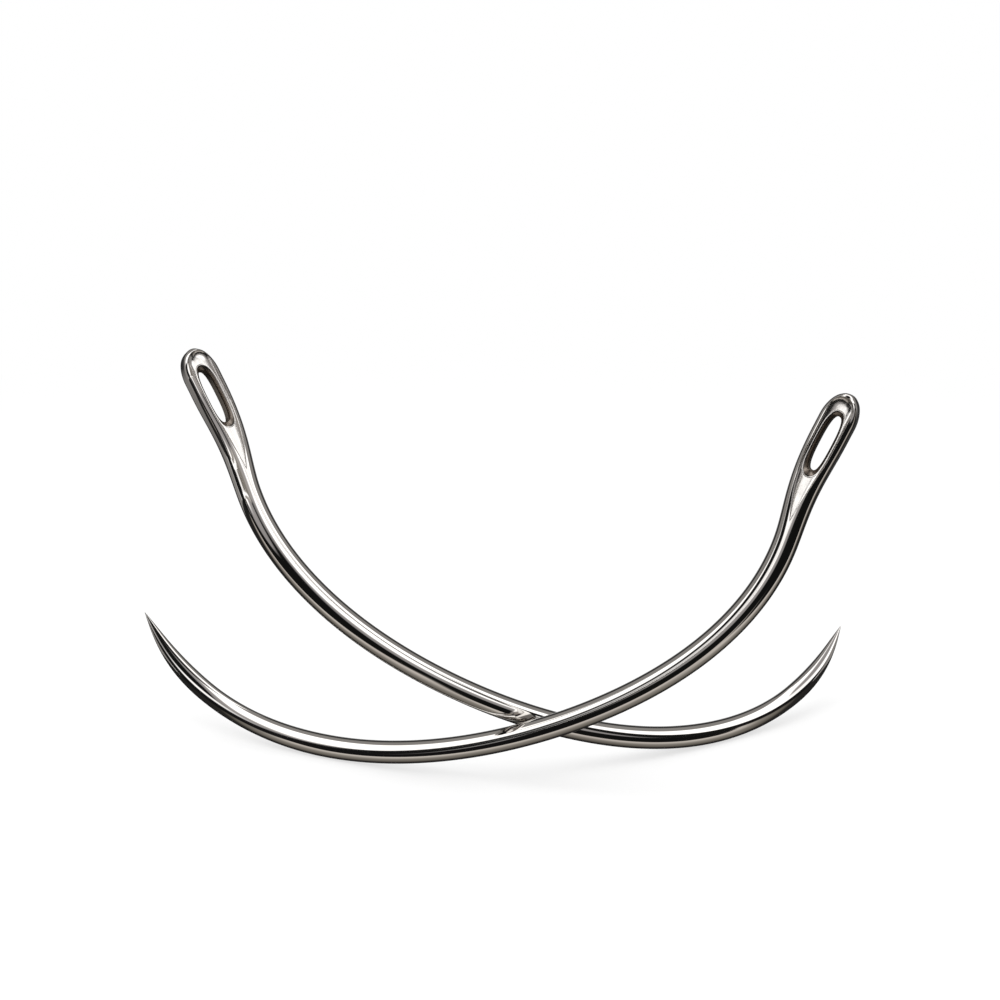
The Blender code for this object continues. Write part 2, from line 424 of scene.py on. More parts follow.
def make_lamp():
    light = bpy.data.lights.new("soft_lamp", "AREA")
    light.size = LAMP_SIZE
    light.energy = LAMP_POWER
    lamp = bpy.data.objects.new("soft_lamp", light)
    lamp.location = LAMP_PLACE
    lamp.rotation_euler = (-LAMP_PLACE).to_track_quat("-Z", "Y").to_euler()
    lamp.visible_glossy = False
    bpy.context.scene.collection.objects.link(lamp)
    return lamp


table = make_table()
lamp = make_lamp()
print("table and lamp:", table.name, lamp.name)

# %% [markdown]
# Both needles are made in the same sizes. A needle starts as a straight length of wire. Its
# point is ground and its head is pressed, pierced and polished while it is straight, and it
# is bent last. So the surface is made straight here too, in three numbers: along the wire
# from the tip, across it towards the inside of the bow, and through it from face to face.
#
# The section changes along the wire: a full ogive at the point, then a slow taper, a round
# shank, and a head that widens into a spindle with rounded edges. Each of these is one short
# rule, and every rule works on whole arrays of places at once.
# %% Section of the wire
LENGTH = 75.8 * MM
WIRE = 1.8 * MM              # diameter
POINT_LENGTH = 9.0 * MM
POINT_FULLNESS = 2.2         # 1 would be a plain cone
POINT_SHOULDER = 0.90        # share of the wire's diameter where the point ends
TAPER_LENGTH = 22.0 * MM     # from the tip to the full wire
HEAD_LENGTH = 11.2 * MM
HEAD_SPREAD = 8.0 * MM       # over which the wire widens into the head
HEAD_WIDTH = 2.55 * MM
HEAD_THICKNESS = 1.7 * MM
HEAD_END = 2.1 * MM          # over which the head's outline rounds off
HEAD_CORNER = 0.55 * MM      # radius of its edges


def smooth(t):
    """0 below 0, 1 above 1, and a smooth step between."""
    t = np.clip(t, 0.0, 1.0)
    return t * t * (3.0 - 2.0 * t)


def rounded_off(left, run):
    """1 until only the run is left, and then down to 0 like a quarter of an ellipse."""
    return np.sqrt(np.clip(1.0 - np.clip(1.0 - left / run, 0.0, 1.0) ** 2, 0.0, 1.0))


def section(along):
    """Half width, half thickness and corner radius at each place along the wire."""
    full = WIRE / 2
    shoulder = full * POINT_SHOULDER
    ogive = shoulder * (1.0 - (1.0 - np.clip(along / POINT_LENGTH, 0.0, 1.0)) ** POINT_FULLNESS)
    grown = smooth((along - POINT_LENGTH) / (TAPER_LENGTH - POINT_LENGTH))
    r = np.where(along < POINT_LENGTH, ogive, shoulder + (full - shoulder) * grown)
    spread = smooth((along - (LENGTH - HEAD_LENGTH)) / HEAD_SPREAD)
    left = np.maximum(LENGTH - along, 0.0)
    width = (r + (HEAD_WIDTH / 2 - r) * spread) * rounded_off(left, HEAD_END)
    cut = HEAD_CORNER * (1.0 - rounded_off(left, HEAD_CORNER))
    thick = r + (HEAD_THICKNESS / 2 - r) * spread - cut
    corner = np.minimum(r + (HEAD_CORNER - r) * spread, np.minimum(width, thick))
    return width, thick, corner


for label, place in (("shank", LENGTH / 2), ("head", LENGTH - HEAD_END)):
    halves = section(np.array(place))[:2]
    print(label, "width and thickness, mm:", [round(2 * float(half) / MM, 3) for half in halves])

# %% [markdown]
# A point on the skin is found from its place along the wire and its share of the way from the
# middle of a face, over the flat, round the corner and on to the side. Two more rules read the
# section the other way: how high the face stands at a distance across it, and which share of
# the way that distance is.
# %% Points on the section
TINY = 1e-9                  # keeps a division finite where a size vanishes


def on_section(along, share):
    """The point a share of the way from the middle of a face round to the side."""
    width, thick, corner = section(along)
    flat = width - corner
    arc = corner * math.pi / 2
    run = share * (flat + arc + thick - corner)
    angle = np.clip((run - flat) / np.maximum(corner, TINY), 0.0, math.pi / 2)
    across = np.minimum(run, flat) + corner * np.sin(angle)
    through = thick - corner + corner * np.cos(angle) - np.maximum(run - flat - arc, 0.0)
    return np.stack([along + 0 * run, across, through], axis=-1)


def face_height(along, across):
    """How high the ungrooved face stands there."""
    width, thick, corner = section(along)
    over = np.clip(across - (width - corner), 0.0, corner)
    return thick - corner + np.sqrt(np.maximum(corner ** 2 - over ** 2, 0.0))


def share_at(along, across):
    """The share of the way round the section at which that distance across is reached."""
    width, thick, corner = section(along)
    flat = width - corner
    angle = np.arcsin(np.clip((across - flat) / np.maximum(corner, TINY), 0.0, 1.0))
    whole = flat + corner * math.pi / 2 + thick - corner
    return (np.minimum(across, flat) + corner * angle) / whole


print("point halfway round the shank, mm:", on_section(np.array(LENGTH / 2), 0.5) / MM)

# %% [markdown]
# The groove guides the thread into the eye. A die presses it into each face: full depth round
# most of the eye, a round end near the end of the head, and a run-out towards the shank that
# narrows to a sharp tip. The die's nose is nearly flat with rounded sides, so the floor reads
# as one even surface between steep sides. It gets shallower as it narrows, like the mark of a
# round die whose radius shrinks with the groove's width.
# %% Groove
GROOVE_WIDTH = 1.8 * MM
GROOVE_DEPTH = 0.35 * MM
GROOVE_MARGIN = 0.28 * MM    # from its round end to the end of the head
GROOVE_ROUND = 0.9 * MM      # radius of that end
GROOVE_LEAD = 3.7 * MM       # from its sharp tip to the eye
GROOVE_RUNOUT = 5.0 * MM     # over which it widens from the tip
RUNOUT_FULLNESS = 1.5        # 1 would be a straight V
FLOOR_FLATNESS = 3.0         # 2 would be a round floor
LEAST_DIE = 0.04             # least share of the groove's width that the radius still follows
EYE_LENGTH = 4.1 * MM
EYE_MARGIN = 1.7 * MM        # from the eye to the end of the head

EYE_MIDDLE = LENGTH - EYE_MARGIN - EYE_LENGTH / 2
GROOVE_TIP = LENGTH - EYE_MARGIN - EYE_LENGTH - GROOVE_LEAD
GROOVE_CENTRE = LENGTH - GROOVE_MARGIN - GROOVE_ROUND
DIE_RADIUS = (GROOVE_WIDTH ** 2 / 4 + GROOVE_DEPTH ** 2) / (2 * GROOVE_DEPTH)


def groove_height(along, across):
    """How high the groove's floor lies there."""
    t = np.clip(1.0 - (along - GROOVE_TIP) / GROOVE_RUNOUT, 0.0, 1.0)
    half = GROOVE_WIDTH / 2 * (1.0 - t ** RUNOUT_FULLNESS)
    die = DIE_RADIUS * np.sqrt(np.maximum(half / (GROOVE_WIDTH / 2), LEAST_DIE))
    depth = die - np.sqrt(die ** 2 - half ** 2)
    face = np.where(t > 0.0, section(along)[1], HEAD_THICKNESS / 2)
    beyond = np.maximum(along - GROOVE_CENTRE, 0.0)
    out_to = np.minimum(np.hypot(across, beyond) / np.maximum(half, TINY), 1.0)
    return face - depth * np.sqrt(1.0 - out_to ** FLOOR_FLATNESS)


print("groove from", round(GROOVE_TIP / MM, 2), "mm, die radius", round(DIE_RADIUS / MM, 2), "mm")

# %% [markdown]
# The eye is punched through the floor of the groove, and its edge is then opened outward, more
# at the ends, where the thread bends over it, than along the sides. Its outline is a long slot
# with round ends. A power curve, fuller than an ellipse, draws it, and larger ones its flare.
# %% Eye
EYE_WIDTH = 0.95 * MM
EYE_SQUARENESS = 2.8         # 2 would be an ellipse
END_FLARE = 1.2              # how far the flare opens for each unit of height
SIDE_FLARE = 0.55
FLARE_DEPTH = 0.25 * MM      # below the deepest part of the groove

HOLE_LEVEL = HEAD_THICKNESS / 2 - GROOVE_DEPTH - FLARE_DEPTH


def eye_outline(turn, level):
    """Along and across of the eye's edge at that level; turn is 0 at the far end, pi at the
    near one."""
    opened = np.maximum(level - HOLE_LEVEL, 0.0)
    c, s = np.cos(turn), np.sin(turn)
    power = 2.0 / EYE_SQUARENESS
    along = np.sign(c) * np.abs(c) ** power * (EYE_LENGTH / 2 + END_FLARE * opened)
    across = np.abs(s) ** power * (EYE_WIDTH / 2 + SIDE_FLARE * opened)
    return EYE_MIDDLE + along, across


def solve(rule, low, high, steps=50):
    """Where the rule crosses zero, by halving, for whole arrays; it is negative at low."""
    low, high = np.array(low, dtype=float), np.array(high, dtype=float)
    for _ in range(steps):
        middle = (low + high) / 2
        under = rule(middle) < 0.0
        low = np.where(under, middle, low)
        high = np.where(under, high, middle)
    return (low + high) / 2


def flare_level(turn):
    """How high the flare meets the groove's floor, for each part of the eye's edge."""

    def miss(level):
        return level - groove_height(*eye_outline(turn, level))

    return solve(miss, HOLE_LEVEL + 0 * turn, HEAD_THICKNESS / 2 + 0 * turn)


print("flare's height at the end and the side, mm:", flare_level(np.array([0.0, math.pi / 2])) / MM)

# %% [markdown]
# Cutting the groove and the eye out with Booleans would leave thin triangles that show as
# ripples in polished steel. So the creases are solved for, and rows of faces follow them. This
# one is the groove's edge, where its floor meets the face. Columns of points start on it: even
# ones along the run-out and past the eye, and a fan of them round the end.
# %% Edge of the groove
STATION_COLUMNS = 150
FAN_COLUMNS = 30
COLUMNS = STATION_COLUMNS + FAN_COLUMNS + 1
NEAR_REACH = 0.3 * MM        # the round end's edge is looked for between these
FAR_REACH = 1.05 * MM


def groove_edge():
    """Along and across of the edge, from its sharp tip to the middle of its round end."""

    def miss(along, across):
        return groove_height(along, across) - face_height(along, across)

    along = GROOVE_TIP + (GROOVE_CENTRE - GROOVE_TIP) * np.linspace(0.0, 1.0, STATION_COLUMNS + 1)
    across = solve(lambda y: miss(along, y), 0 * along, section(along)[0])
    turn = np.linspace(0.0, math.pi / 2, FAN_COLUMNS + 1)[1:]
    reach = solve(
        lambda r: miss(GROOVE_CENTRE + r * np.sin(turn), r * np.cos(turn)),
        NEAR_REACH + 0 * turn, FAR_REACH + 0 * turn,
    )
    along = np.concatenate([along, GROOVE_CENTRE + reach * np.sin(turn)])
    across = np.concatenate([across, reach * np.cos(turn)])
    across[0] = 0.0
    across[-1] = 0.0
    return along, across


EDGE_ALONG, EDGE_ACROSS = groove_edge()
print("groove edge:", COLUMNS, "columns, widest", round(2 * EDGE_ACROSS.max() / MM, 3), "mm")

# %% [markdown]
# The whole needle is the same on both faces and on both sides, so only a quarter of its skin
# is worked out, and mirrored twice. It has four fields of faces that share their edges: the
# rim outside the groove, the groove's floor, the wall of the eye, and the wire with its point.
#
# The rim comes first. A thin row of faces runs along its crease. The shading turns within that
# row and leaves the faces beyond it even, which looks like an edge that polishing has rounded.
# %% Rim outside the groove
ROWS_ROUND = 20              # from the face to the side
POLISHED_EDGE = 0.035 * MM   # width of a thin row
MOST_THIN = 0.2              # share of the way that a thin row takes at most
RIM_REACH = 1.6 * MM         # about how far it is from the crease to the side
TIP_COLUMNS = 14             # from the groove's tip to where the thin row is whole
END_RUN = 0.6                # share of the rows that run to the end before it turns down


def with_thin_rows(count, size, ends):
    """Shares from 0 to 1 in count steps, with a thin step at the chosen ends."""
    inner = np.linspace(0.0, 1.0, count - sum(ends) + 1)[None, :] + 0 * size[:, None]
    thin = np.minimum(POLISHED_EDGE / np.maximum(size, TINY), MOST_THIN)[:, None]
    low, high = thin * ends[0], 1.0 - thin * ends[1]
    rows = low + (high - low) * inner
    if ends[0]:
        rows = np.concatenate([0 * thin, rows], axis=1)
    if ends[1]:
        rows = np.concatenate([rows, 0 * thin + 1.0], axis=1)
    return rows


def rim_field():
    """From the groove's edge round to the side of the head, or to its end."""
    start = share_at(EDGE_ALONG, EDGE_ACROSS)
    column = np.arange(COLUMNS)
    fan = np.clip((column - STATION_COLUMNS) / FAN_COLUMNS, 0.0, 1.0)
    end_place = GROOVE_CENTRE + (LENGTH - GROOVE_CENTRE) * np.sin(fan * math.pi / 2)
    target = np.where(fan > 0, end_place, EDGE_ALONG)
    rows = with_thin_rows(ROWS_ROUND, np.full(COLUMNS, RIM_REACH), (True, False))
    even = np.linspace(0.0, 1.0, ROWS_ROUND + 1)[None, :]
    rows = even + (rows - even) * smooth(column / TIP_COLUMNS)[:, None]
    drift = np.sin(np.minimum(rows / END_RUN, 1.0) * math.pi / 2)
    along = EDGE_ALONG[:, None] + (target - EDGE_ALONG)[:, None] * drift
    over = np.clip((rows - END_RUN) / (1.0 - END_RUN), 0.0, 1.0)
    share = start[:, None] + (1.0 - start[:, None]) * (rows + (over - rows) * fan[:, None])
    return on_section(along, share)


FIELDS = {"rim": rim_field()}
print("rim field:", FIELDS["rim"].shape[:2], "points")

# %% [markdown]
# Each column of the floor runs from the eye's edge to the groove's edge. Beside the eye the
# columns run almost straight across, and before and behind it they close round its ends. The
# punch leaves a low rolled lip round the eye, which catches the light as a fine line. There is
# a thin row again at the groove's edge.
# %% Floor of the groove
ROWS_LIP = 6
ROWS_FLOOR = 17
LIP_WIDTH = 0.13 * MM
LIP_HEIGHT = 0.022 * MM
MOST_LIP = 0.4               # share of the way that the lip takes at most
EYE_STRAIGHT = 0.86          # share of the eye's length with columns straight across


def eye_turns():
    """Which part of the eye's edge each column runs to."""
    room = EYE_LENGTH / 2 + END_FLARE * FLARE_DEPTH
    x = np.clip((EDGE_ALONG - EYE_MIDDLE) / room, -EYE_STRAIGHT, EYE_STRAIGHT)
    turn = np.arccos(np.sign(x) * np.abs(x) ** (EYE_SQUARENESS / 2))
    column = np.arange(COLUMNS)
    first = int(np.argmax(EDGE_ALONG > EYE_MIDDLE - room * EYE_STRAIGHT))
    last = int(np.argmax(EDGE_ALONG > EYE_MIDDLE + room * EYE_STRAIGHT))
    begin = math.pi - (math.pi - turn[first]) * (column / first)
    end = turn[last] * (COLUMNS - 1 - column) / (COLUMNS - 1 - last)
    return np.where(column < first, begin, np.where(column > last, end, turn))


def floor_field(turn, level):
    """From the eye's flared edge over its lip and out to the groove's edge."""
    along, across = eye_outline(turn, level)
    size = np.hypot(EDGE_ALONG - along, EDGE_ACROSS - across)
    lip = np.minimum(LIP_WIDTH / size, MOST_LIP)[:, None]
    near = lip * np.linspace(0.0, 1.0, ROWS_LIP + 1)[None, :]
    far = lip + (1.0 - lip) * with_thin_rows(ROWS_FLOOR, size, (False, True))[:, 1:]
    rows = np.concatenate([near, far], axis=1)
    s = along[:, None] + (EDGE_ALONG - along)[:, None] * rows
    y = across[:, None] + (EDGE_ACROSS - across)[:, None] * rows
    rise = LIP_HEIGHT * np.sin(math.pi * np.minimum(rows / lip, 1.0)) ** 2
    return np.stack([s, y, groove_height(s, y) + rise], axis=-1)


EYE_TURNS = eye_turns()
FLARE_LEVELS = flare_level(EYE_TURNS)
FIELDS["floor"] = floor_field(EYE_TURNS, FLARE_LEVELS)
print("floor field:", FIELDS["floor"].shape[:2], "points")

# %% [markdown]
# The eye's wall goes straight through the middle of the head. Its flare opens slowly at first
# and faster towards the edge, like the mouth of a bell, and ends in one more thin row.
# %% Wall of the eye
ROWS_WALL = 4
ROWS_FLARE = 9
BELL = 1.6                   # 1 would be a plain cone


def eye_field(turn, level):
    """From the middle of the needle up the wall and out over the flare."""
    rows = with_thin_rows(ROWS_FLARE, level - HOLE_LEVEL, (False, True))
    climb = HOLE_LEVEL + (level - HOLE_LEVEL)[:, None] * rows
    opened = HOLE_LEVEL + (level - HOLE_LEVEL)[:, None] * rows ** BELL
    s, y = eye_outline(turn[:, None], opened)
    flare = np.stack([s, y, climb], axis=-1)
    steps = np.linspace(0.0, 1.0, ROWS_WALL + 1)[:-1]
    s, y = eye_outline(turn[:, None], HOLE_LEVEL + 0 * steps[None, :])
    wall = np.stack([s, y, HOLE_LEVEL * steps[None, :] + 0 * s], axis=-1)
    return np.concatenate([wall, flare], axis=1)


FIELDS["eye"] = eye_field(EYE_TURNS, FLARE_LEVELS)
print("eye field:", FIELDS["eye"].shape[:2], "points")

# %% [markdown]
# The wire takes most of the length and needs the fewest rules: rings of points on its section,
# close together at the sharp end of the point and evenly spaced along the shank, as far as the
# groove's tip.
# %% Point and shank
POINT_RINGS = 60
POINT_CROWDING = 1.6         # 1 would space the rings of the point evenly
SHANK_RINGS = 240


def wire_field():
    point = POINT_LENGTH * np.linspace(0.0, 1.0, POINT_RINGS + 1)[1:] ** POINT_CROWDING
    shank = np.linspace(POINT_LENGTH, GROOVE_TIP, SHANK_RINGS + 1)[1:]
    along = np.concatenate([point, shank])
    share = np.linspace(0.0, 1.0, ROWS_ROUND + 1)
    return on_section(along[:, None] + 0 * share[None, :], share[None, :])


FIELDS["wire"] = wire_field()
print("wire field:", FIELDS["wire"].shape[:2], "points")

# %% [markdown]
# The quarter is mirrored into four, the points that fall together are merged, and the normals
# are set to face out. Two attributes mark the points of the groove and of the eye, so that one
# material can finish all of it. The points on a crease are half marked.
# %% Straight needle
# For each field: the marks of its first row, of the rows between, and of its last row
GROOVE_MARKS = {
    "wire": (0.0, 0.0, 0.0), "rim": (0.5, 0.0, 0.0),
    "floor": (0.5, 1.0, 0.5), "eye": (0.0, 0.0, 0.5),
}
EYE_MARKS = {
    "wire": (0.0, 0.0, 0.0), "rim": (0.0, 0.0, 0.0),
    "floor": (0.5, 0.0, 0.0), "eye": (1.0, 1.0, 0.5),
}
MERGED = 0.0005 * MM         # points closer than this become one
SLIVER = 0.0002 * MM         # edges shorter than this are taken out


def along_row(marks, count):
    first, between_ends, last = marks
    return [first] + [between_ends] * (count - 2) + [last]


def add_field(form, label, flip):
    """Adds one field of points to the form as faces, mirrored by the signs in flip."""
    field = FIELDS[label] * np.array([1.0, *flip])
    columns = [[form.verts.new(point) for point in column] for column in field]
    for name, marks in (("groove", GROOVE_MARKS), ("eye", EYE_MARKS)):
        layer = form.verts.layers.float[name]
        values = along_row(marks[label], field.shape[1])
        for column in columns:
            for vert, value in zip(column, values):
                vert[layer] = value
    for a, b in zip(columns, columns[1:]):
        for j in range(len(a) - 1):
            form.faces.new((a[j], a[j + 1], b[j + 1], b[j]))
    return columns


def straight_needle():
    form = bmesh.new()
    for name in ("groove", "eye"):
        form.verts.layers.float.new(name)
    for flip in ((1, 1), (-1, 1), (1, -1), (-1, -1)):
        ring = add_field(form, "wire", flip)[0]
        tip = form.verts.new((0.0, 0.0, 0.0))
        for a, b in zip(ring, ring[1:]):
            form.faces.new((a, b, tip))
        for label in ("rim", "floor", "eye"):
            add_field(form, label, flip)
    bmesh.ops.remove_doubles(form, verts=form.verts, dist=MERGED)
    bmesh.ops.dissolve_degenerate(form, edges=form.edges, dist=SLIVER)
    bmesh.ops.recalc_face_normals(form, faces=form.faces)
    open_edges = sum(1 for edge in form.edges if len(edge.link_faces) != 2)
    for face in form.faces:
        face.smooth = True
    mesh = bpy.data.meshes.new("straight_needle")
    form.to_mesh(mesh)
    form.free()
    print("straight needle:", len(mesh.polygons), "faces,", open_edges, "open edges")
    return mesh


STRAIGHT = straight_needle()

# %% [markdown]
# The bow follows a rule for the bend, which is one over its radius. The bend starts from
# nothing at the very tip and is soon at its tightest. It is least at the belly and tight again
# before the head, where it stops, and the head is set back outward. A spline drawn by eye
# could do it, but polished steel shows each small step in a bend, and a smooth rule has none.
# %% Rule of the bow
BOW = {
    "Tip Radius": 15.0 * MM,         # that the bow would have at the tip
    "Tip Straight": 4.0 * MM,        # over which the bend comes in
    "Belly Radius": 54.0 * MM,
    "Neck Radius": 12.9 * MM,        # where the bow ends
    "Belly Place": 40.7 * MM,        # from the tip
    "Bow End": 10.5 * MM,            # from the end of the head
    "Bow Fade": 0.5 * MM,            # how gently the bend ends there
    "Set Back": math.radians(10.6),
    "Set Back Length": 7.2 * MM,     # from the bow's end
    "Length": LENGTH,
}
MOST_FADES = 60.0            # counted past the bow's end, so that e to their power is finite


def bend_at(place, size):
    """The bend of the wire at a place along it."""
    belly = 1.0 / size["Belly Radius"]
    stop = size["Length"] - size["Bow End"]
    before = (place - size["Belly Place"]) / size["Belly Place"]
    after = (place - size["Belly Place"]) / (stop - size["Belly Place"])
    past = place.math("GREATER_THAN", size["Belly Place"])
    tip_extra = 1.0 / size["Tip Radius"] - belly
    neck_extra = 1.0 / size["Neck Radius"] - belly
    extra = tip_extra * (1.0 - past) + neck_extra * past
    run = before * (1.0 - past) + after * past
    bow = belly + extra * run * run
    beyond = ((place - stop) / size["Bow Fade"]).math("MINIMUM", MOST_FADES)
    fade = 1.0 / (1.0 + beyond.math("EXPONENT"))
    start = (place / size["Tip Straight"]).smoothed()
    t = ((place - stop) / size["Set Back Length"]).clamped()
    swell = 1.0 - (t * (2.0 * math.pi)).math("COSINE")
    return bow * fade * start - size["Set Back"] * swell / size["Set Back Length"]


print("sizes of the bow:", ", ".join(BOW))

# %% [markdown]
# Adding the bends up gives the slope at each place, and adding up short steps along the slope
# gives the centre line. Accumulate Field does both sums on a line of points, so the bow stays
# a rule with ten sizes, and no list of points is needed. The slope is set to nothing at the
# belly, where the needle lies level.
# %% Centre line
BEND_STEPS = 1200


def summed(tree, value):
    """The sums of a value along the points, with each point's own share and without it."""
    settings = {"data_type": "FLOAT", "domain": "POINT"}
    node = add(tree, "GeometryNodeAccumulateField", settings, in_0=value)
    return out(node, "Leading"), out(node, "Trailing")


def sampled(tree, line, value, index, kind):
    """The value at the point of the line with that index."""
    settings = {"data_type": kind, "domain": "POINT", "clamp": True}
    node = add(
        tree, "GeometryNodeSampleIndex", settings, Geometry=line, Value=value, Index=index,
    )
    return out(node)


def position(tree):
    return out(add(tree, "GeometryNodeInputPosition"))


def centre_line(tree, size, step):
    """A line of points, and at each the centre's x, the wire's slope, and the centre's z."""
    offset = add(tree, "ShaderNodeCombineXYZ", X=step)
    line = out(add(tree, "GeometryNodeMeshLine", Count=BEND_STEPS + 1, Offset=out(offset)))
    place = split(tree, position(tree))[0]
    leading, trailing = summed(tree, bend_at(place + step * 0.5, size) * step)
    belly = (size["Belly Place"] / step).math("ROUND")
    level = sampled(tree, line, trailing, belly, "FLOAT")
    slope = (leading + trailing) * 0.5 - level
    x = summed(tree, slope.math("COSINE") * step)[1]
    z = summed(tree, slope.math("SINE") * step)[1]
    return line, out(add(tree, "ShaderNodeCombineXYZ", X=x, Y=trailing - level, Z=z))


print("steps along the centre line:", BEND_STEPS)

# %% [markdown]
# The tree moves every point of the straight needle to the centre line and lays it across the
# slope there, so the same tree bends both needles, each with its own lean and turn. It keeps
# the straight place of each point as an attribute, which the finish needs. A curve modifier
# would bend the wire too, but it wants a drawn curve, and the tree follows the rule itself.
# %% Bending tree
STANCE = ("Rock", "Stand")


def bending_sockets(tree):
    sockets = tree.interface
    sockets.new_socket("Geometry", in_out="INPUT", socket_type="NodeSocketGeometry")
    for name in BOW:
        sockets.new_socket(name, in_out="INPUT", socket_type="NodeSocketFloat")
    for name in STANCE:
        sockets.new_socket(name, in_out="INPUT", socket_type="NodeSocketVector")
    sockets.new_socket("Material", in_out="INPUT", socket_type="NodeSocketMaterial")
    sockets.new_socket("Geometry", in_out="OUTPUT", socket_type="NodeSocketGeometry")


def bent_place(tree, size):
    """Where a point of the straight needle goes."""
    step = size["Length"] / BEND_STEPS
    line, centre = centre_line(tree, size, step)
    along, across, through = split(tree, position(tree))
    index = along / step
    low = index.math("FLOOR")
    ends = [sampled(tree, line, centre, low + more, "FLOAT_VECTOR") for more in (0.0, 1.0)]
    x, slope, z = split(tree, mixed(tree, index - low, *ends, kind="VECTOR"))
    bent_x = x - slope.math("SINE") * across
    bent_z = z + slope.math("COSINE") * across
    return out(add(tree, "ShaderNodeCombineXYZ", X=bent_x, Y=through, Z=bent_z))


def bending_tree():
    tree = bpy.data.node_groups.new("bend_the_needle", "GeometryNodeTree")
    bending_sockets(tree)
    source = add(tree, "NodeGroupInput")
    bent = bent_place(tree, {name: out(source, name) for name in BOW})
    settings = {"data_type": "FLOAT_VECTOR", "domain": "POINT"}
    kept = add(
        tree, "GeometryNodeStoreNamedAttribute", settings,
        Geometry=out(source, "Geometry"), Name="straight", Value=position(tree),
    )
    form = add(tree, "GeometryNodeSetPosition", Geometry=out(kept), Position=bent)
    for name in STANCE:
        turned = out(source, name)
        form = add(tree, "GeometryNodeTransform", Geometry=out(form), Rotation=turned)
    real = add(tree, "GeometryNodeRealizeInstances", Geometry=out(form))
    steel_input = out(source, "Material")
    dressed = add(tree, "GeometryNodeSetMaterial", Geometry=out(real), Material=steel_input)
    add(tree, "NodeGroupOutput", in_0=out(dressed))
    return tree


BENDING = bending_tree()
print("bending tree:", len(BENDING.nodes), "nodes")

# %% [markdown]
# The steel is drawn, hardened and polished along the wire. A mirror finish would look like
# plastic chrome, so the roughness varies in fine lengthwise streaks, and shallow marks tilt
# the reflections by a hair. The streaks read the straight place that the bending tree keeps,
# so they follow the bow. Every pattern is noise stretched in its own way.
# %% Grain of the steel
# Cells to a metre along, across and through the wire
FINE_GRAIN = (260.0, 15000.0, 15000.0)
BROAD_GRAIN = (90.0, 2600.0, 2600.0)
BRUSHED_GRAIN = (1500.0, 9000.0, 9000.0)
PUNCHED_GRAIN = (9000.0, 9000.0, 900.0)

MARK_RUN = (0.3, 0.7)        # of an attribute, from just outside its part to just inside
CREASE_RUN = (0.0, 0.6)


def grained(tree, place, grain, **values):
    """Noise with that grain."""
    stretched = add(tree, "ShaderNodeMapping", Vector=place, Scale=grain)
    node = add(tree, "ShaderNodeTexNoise", Vector=out(stretched), Scale=1.0, **values)
    return out(node, "Fac")


def attribute(tree, name, output):
    settings = {"attribute_type": "GEOMETRY", "attribute_name": name}
    return out(add(tree, "ShaderNodeAttribute", settings), output)


def marked(tree, name):
    """1 in the part that the attribute marks, and 0 outside it."""
    return attribute(tree, name, "Fac").eased(*MARK_RUN)


def crease(tree, name):
    """1 on the crease round the part that the attribute marks, and 0 away from it."""
    mark = attribute(tree, name, "Fac")
    return (1.0 - (mark * 2.0 - 1.0).math("ABSOLUTE")).eased(*CREASE_RUN)


print("fine streaks are", round(1 / FINE_GRAIN[1] / MM, 3), "mm wide")

# %% [markdown]
# Each part of the needle has its own finish. The shank is polished, with a paler tint in broad
# streaks. The groove is pressed and only brushed, so it is softer. The buff doesn't reach into
# the eye, so its wall is dull, and painted shade makes it dark brown and its flare darker still.
# The creases are drawn as dark lines of painted shade. Layers of Mix Shader would do it too, but
# one metal with a mixed colour and roughness is simpler and exports as it is.
# %% Steel finish
FRONT_COLOUR = (0.66, 0.635, 0.61, 1.0)
REAR_COLOUR = (0.645, 0.62, 0.60, 1.0)
STREAK_COLOUR = (0.73, 0.71, 0.685, 1.0)
# Painted shade inside the eye: its wall is dark brown, and its flare darker still
WALL_SHADE_COLOUR = (0.36, 0.31, 0.26, 1.0)
FLARE_SHADE_COLOUR = (0.24, 0.205, 0.175, 1.0)
FLARE_FADE = 0.08 * MM       # height over which the wall's colour turns into the flare's
# Dark lines of painted shade along the creases round the eye and the groove
CREASE_SHADE_COLOUR = (0.05, 0.045, 0.04, 1.0)
CREASE_SHADE_SHARE = 0.85
WALL_SHARE = (0.75, 1.0)     # of the wall's colour, from its smoothest place to its roughest

# Values of the noise between which a pattern comes in
TINT_RUN = (0.35, 0.7)
FINE_RUN = (0.4, 0.75)
BROAD_RUN = (0.45, 0.8)
BRUSHED_RUN = (0.35, 0.75)

# Roughness of each finish, and what the patterns on it add
ROUGHNESS = {
    "polished": 0.03, "fine streaks": 0.04, "broad streaks": 0.02,
    "pressed": 0.14, "brushing": 0.14,
    "pierced": 0.24, "fine streaks in the eye": 0.1,
}

# The height that a pattern of 1 stands for, and how many times that each pattern has
MARK_HEIGHT = 0.004 * MM
MARK_STRENGTH = 0.12         # share of the marks' tilt that shows
FINE_HEIGHT = (0.35, 1.0)    # on the shank, and in the groove
BRUSHED_HEIGHT = 0.8
PUNCHED_HEIGHT = 3.0


def steel_colour(tree, place, colour, eye, broad, punched):
    tint = mixed(tree, broad.eased(*TINT_RUN), colour, STREAK_COLOUR)
    # Painted shade inside the eye: the wall is darkened to brown, its share following the punch
    # marks
    tint = mixed(tree, eye * between(punched, WALL_SHARE), tint, WALL_SHADE_COLOUR)
    # The flare is painted darker still, as more shade inside the eye
    level = split(tree, place)[2].math("ABSOLUTE")
    flare = eye * level.eased(HOLE_LEVEL, HOLE_LEVEL + FLARE_FADE)
    tint = mixed(tree, flare, tint, FLARE_SHADE_COLOUR)
    # Painted shade: the creases round the eye and the groove are darkened into dark lines
    crease_shade = crease(tree, "eye").math("MAXIMUM", crease(tree, "groove"))
    return mixed(tree, CREASE_SHADE_SHARE * crease_shade, tint, CREASE_SHADE_COLOUR)


